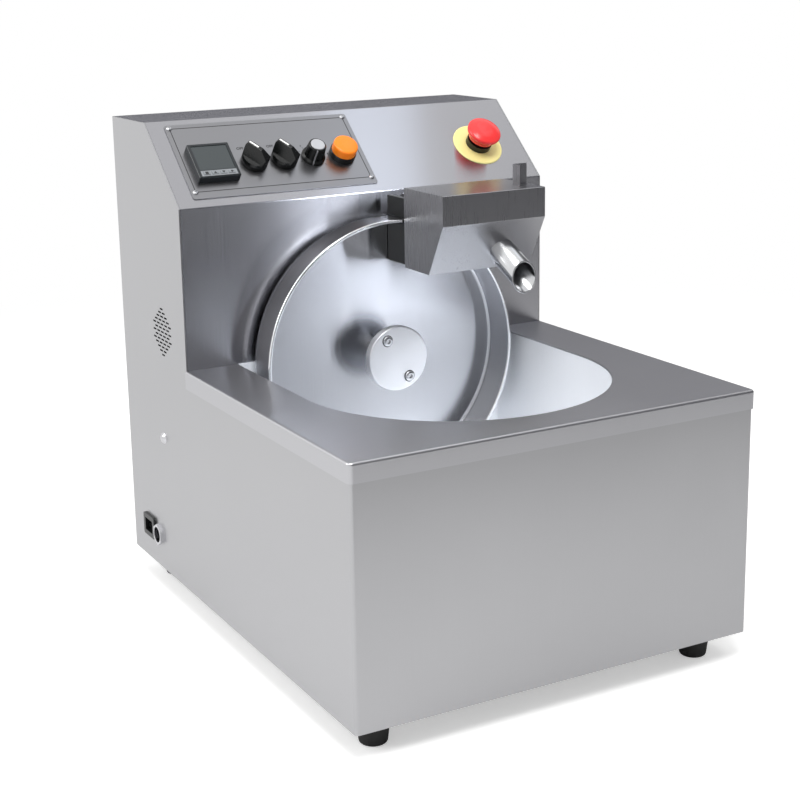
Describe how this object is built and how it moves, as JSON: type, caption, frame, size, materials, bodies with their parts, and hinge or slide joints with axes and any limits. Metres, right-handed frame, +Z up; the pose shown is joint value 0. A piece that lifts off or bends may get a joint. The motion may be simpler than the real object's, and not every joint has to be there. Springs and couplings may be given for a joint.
{
  "type": "chocolate melter",
  "caption": "Tabletop stainless chocolate melter: a heated bowl, a driven dish wheel that lifts chocolate to a scraper box with a spout, and a sloped control panel.",
  "frame": {"origin": "on the table, under the middle of the machine's bounding box", "axes": "+Z up, -Y towards the user and the spout, +X to the user's right"},
  "size_m": [0.4558, 0.572, 0.542],
  "materials": {
    "stainless": "brushed",
    "polished_steel": "polished",
    "bright_steel": "bright",
    "black_rubber": "matt",
    "heater": "matt",
    "black_plastic": "satin",
    "dark_window": "glossy",
    "grey_keys": "matt",
    "silver_trim": "satin",
    "orange_lens": "glossy",
    "yellow_plastic": "satin",
    "red_plastic": "glossy",
    "cast_housing": "cast",
    "motor_paint": "satin",
    "board": "satin"
  },
  "bodies": {
    "casing": {"body_wrap": "stainless", "rear_cover": "stainless", "rear_cover_screws": "bright_steel", "base_plate": "stainless", "foot_screws": "bright_steel", "foot_front_left": "black_rubber", "foot_front_right": "black_rubber", "foot_rear_left": "black_rubber", "foot_rear_right": "black_rubber", "deck": "stainless", "bowl": "polished_steel", "heater_mat": "heater", "temperature_probe": "bright_steel", "head_cover": "stainless", "control_plate": "stainless", "control_plate_screws": "bright_steel", "controller_case": "black_plastic", "controller_window": "dark_window", "left_switch": "black_plastic", "right_switch": "black_plastic", "speed_dial": "black_plastic", "lamp_body": "black_plastic", "lamp_lens": "orange_lens", "stop_disc": "yellow_plastic", "stop_switch": "black_plastic", "shaft_seal": "black_rubber", "bearing_housing": "cast_housing", "front_bearing": "bright_steel", "rear_bearing": "bright_steel", "motor_bracket": "bright_steel", "gearbox": "cast_housing", "motor": "motor_paint", "hopper_pins": "bright_steel", "fan_frame": "black_plastic", "reset_switch": "black_plastic", "power_inlet": "black_plastic", "accessory_socket": "bright_steel", "control_board": "board"},
    "wheel_set": {"wheel": "polished_steel", "wheel_hub": "polished_steel", "hub_cap": "polished_steel", "hub_cap_screws": "bright_steel", "drive_shaft": "bright_steel"},
    "hopper_set": {"hopper": "stainless", "spout_tube": "polished_steel", "scraper_blade": "black_plastic"},
    "left_selector": {"left_knob": "black_plastic"},
    "right_selector": {"right_knob": "black_plastic"},
    "speed_control": {"speed_knob": "black_plastic", "speed_knob_cap": "silver_trim"},
    "stop_plunger": {"stop_stem": "black_plastic"},
    "stop_head": {"stop_button": "red_plastic"},
    "reset": {"reset_button": "silver_trim"},
    "fan": {"fan_rotor": "black_plastic"},
    "key_1": {"controller_key_1": "grey_keys"},
    "key_2": {"controller_key_2": "grey_keys"},
    "key_3": {"controller_key_3": "grey_keys"},
    "key_4": {"controller_key_4": "grey_keys"}
  },
  "joints": [
    {"name": "wheel_spin", "type": "hinge", "parent": "casing", "child": "wheel_set", "pos_m": [0.00115, 0.06075, 0.282], "axis": [0, 1, 0], "continuous": true},
    {"name": "hopper_slide", "type": "slide", "parent": "casing", "child": "hopper_set", "axis": [0, -1, 0], "range_m": [0, 0.07]},
    {"name": "left_selector_turn", "type": "hinge", "parent": "casing", "child": "left_selector", "pos_m": [-0.11835, 0.13253, 0.49629], "axis": [0, -0.6659, 0.7461], "range_deg": [-80, 0]},
    {"name": "right_selector_turn", "type": "hinge", "parent": "casing", "child": "right_selector", "pos_m": [-0.08285, 0.13253, 0.49629], "axis": [0, -0.6659, 0.7461], "range_deg": [-80, 0]},
    {"name": "speed_turn", "type": "hinge", "parent": "casing", "child": "speed_control", "pos_m": [-0.04735, 0.13253, 0.49629], "axis": [0, -0.6659, 0.7461], "range_deg": [-135, 135]},
    {"name": "stop_press", "type": "slide", "parent": "casing", "child": "stop_plunger", "axis": [0, 0.6659, -0.7461], "range_m": [0, 0.004]},
    {"name": "stop_twist", "type": "hinge", "parent": "stop_plunger", "child": "stop_head", "pos_m": [0.16615, 0.13178, 0.49562], "axis": [0, -0.6659, 0.7461], "range_deg": [-30, 0]},
    {"name": "reset_press", "type": "slide", "parent": "casing", "child": "reset", "axis": [1, 0, 0], "range_m": [0, 0.002], "stiffness_N_per_m": 300},
    {"name": "fan_spin", "type": "hinge", "parent": "casing", "child": "fan", "pos_m": [-0.20985, 0.15775, 0.316], "axis": [1, 0, 0], "continuous": true},
    {"name": "key_1_press", "type": "slide", "parent": "casing", "child": "key_1", "axis": [0, 0.6659, -0.7461], "range_m": [0, 0.0008], "stiffness_N_per_m": 200},
    {"name": "key_2_press", "type": "slide", "parent": "casing", "child": "key_2", "axis": [0, 0.6659, -0.7461], "range_m": [0, 0.0008], "stiffness_N_per_m": 200},
    {"name": "key_3_press", "type": "slide", "parent": "casing", "child": "key_3", "axis": [0, 0.6659, -0.7461], "range_m": [0, 0.0008], "stiffness_N_per_m": 200},
    {"name": "key_4_press", "type": "slide", "parent": "casing", "child": "key_4", "axis": [0, 0.6659, -0.7461], "range_m": [0, 0.0008], "stiffness_N_per_m": 200}
  ]
}
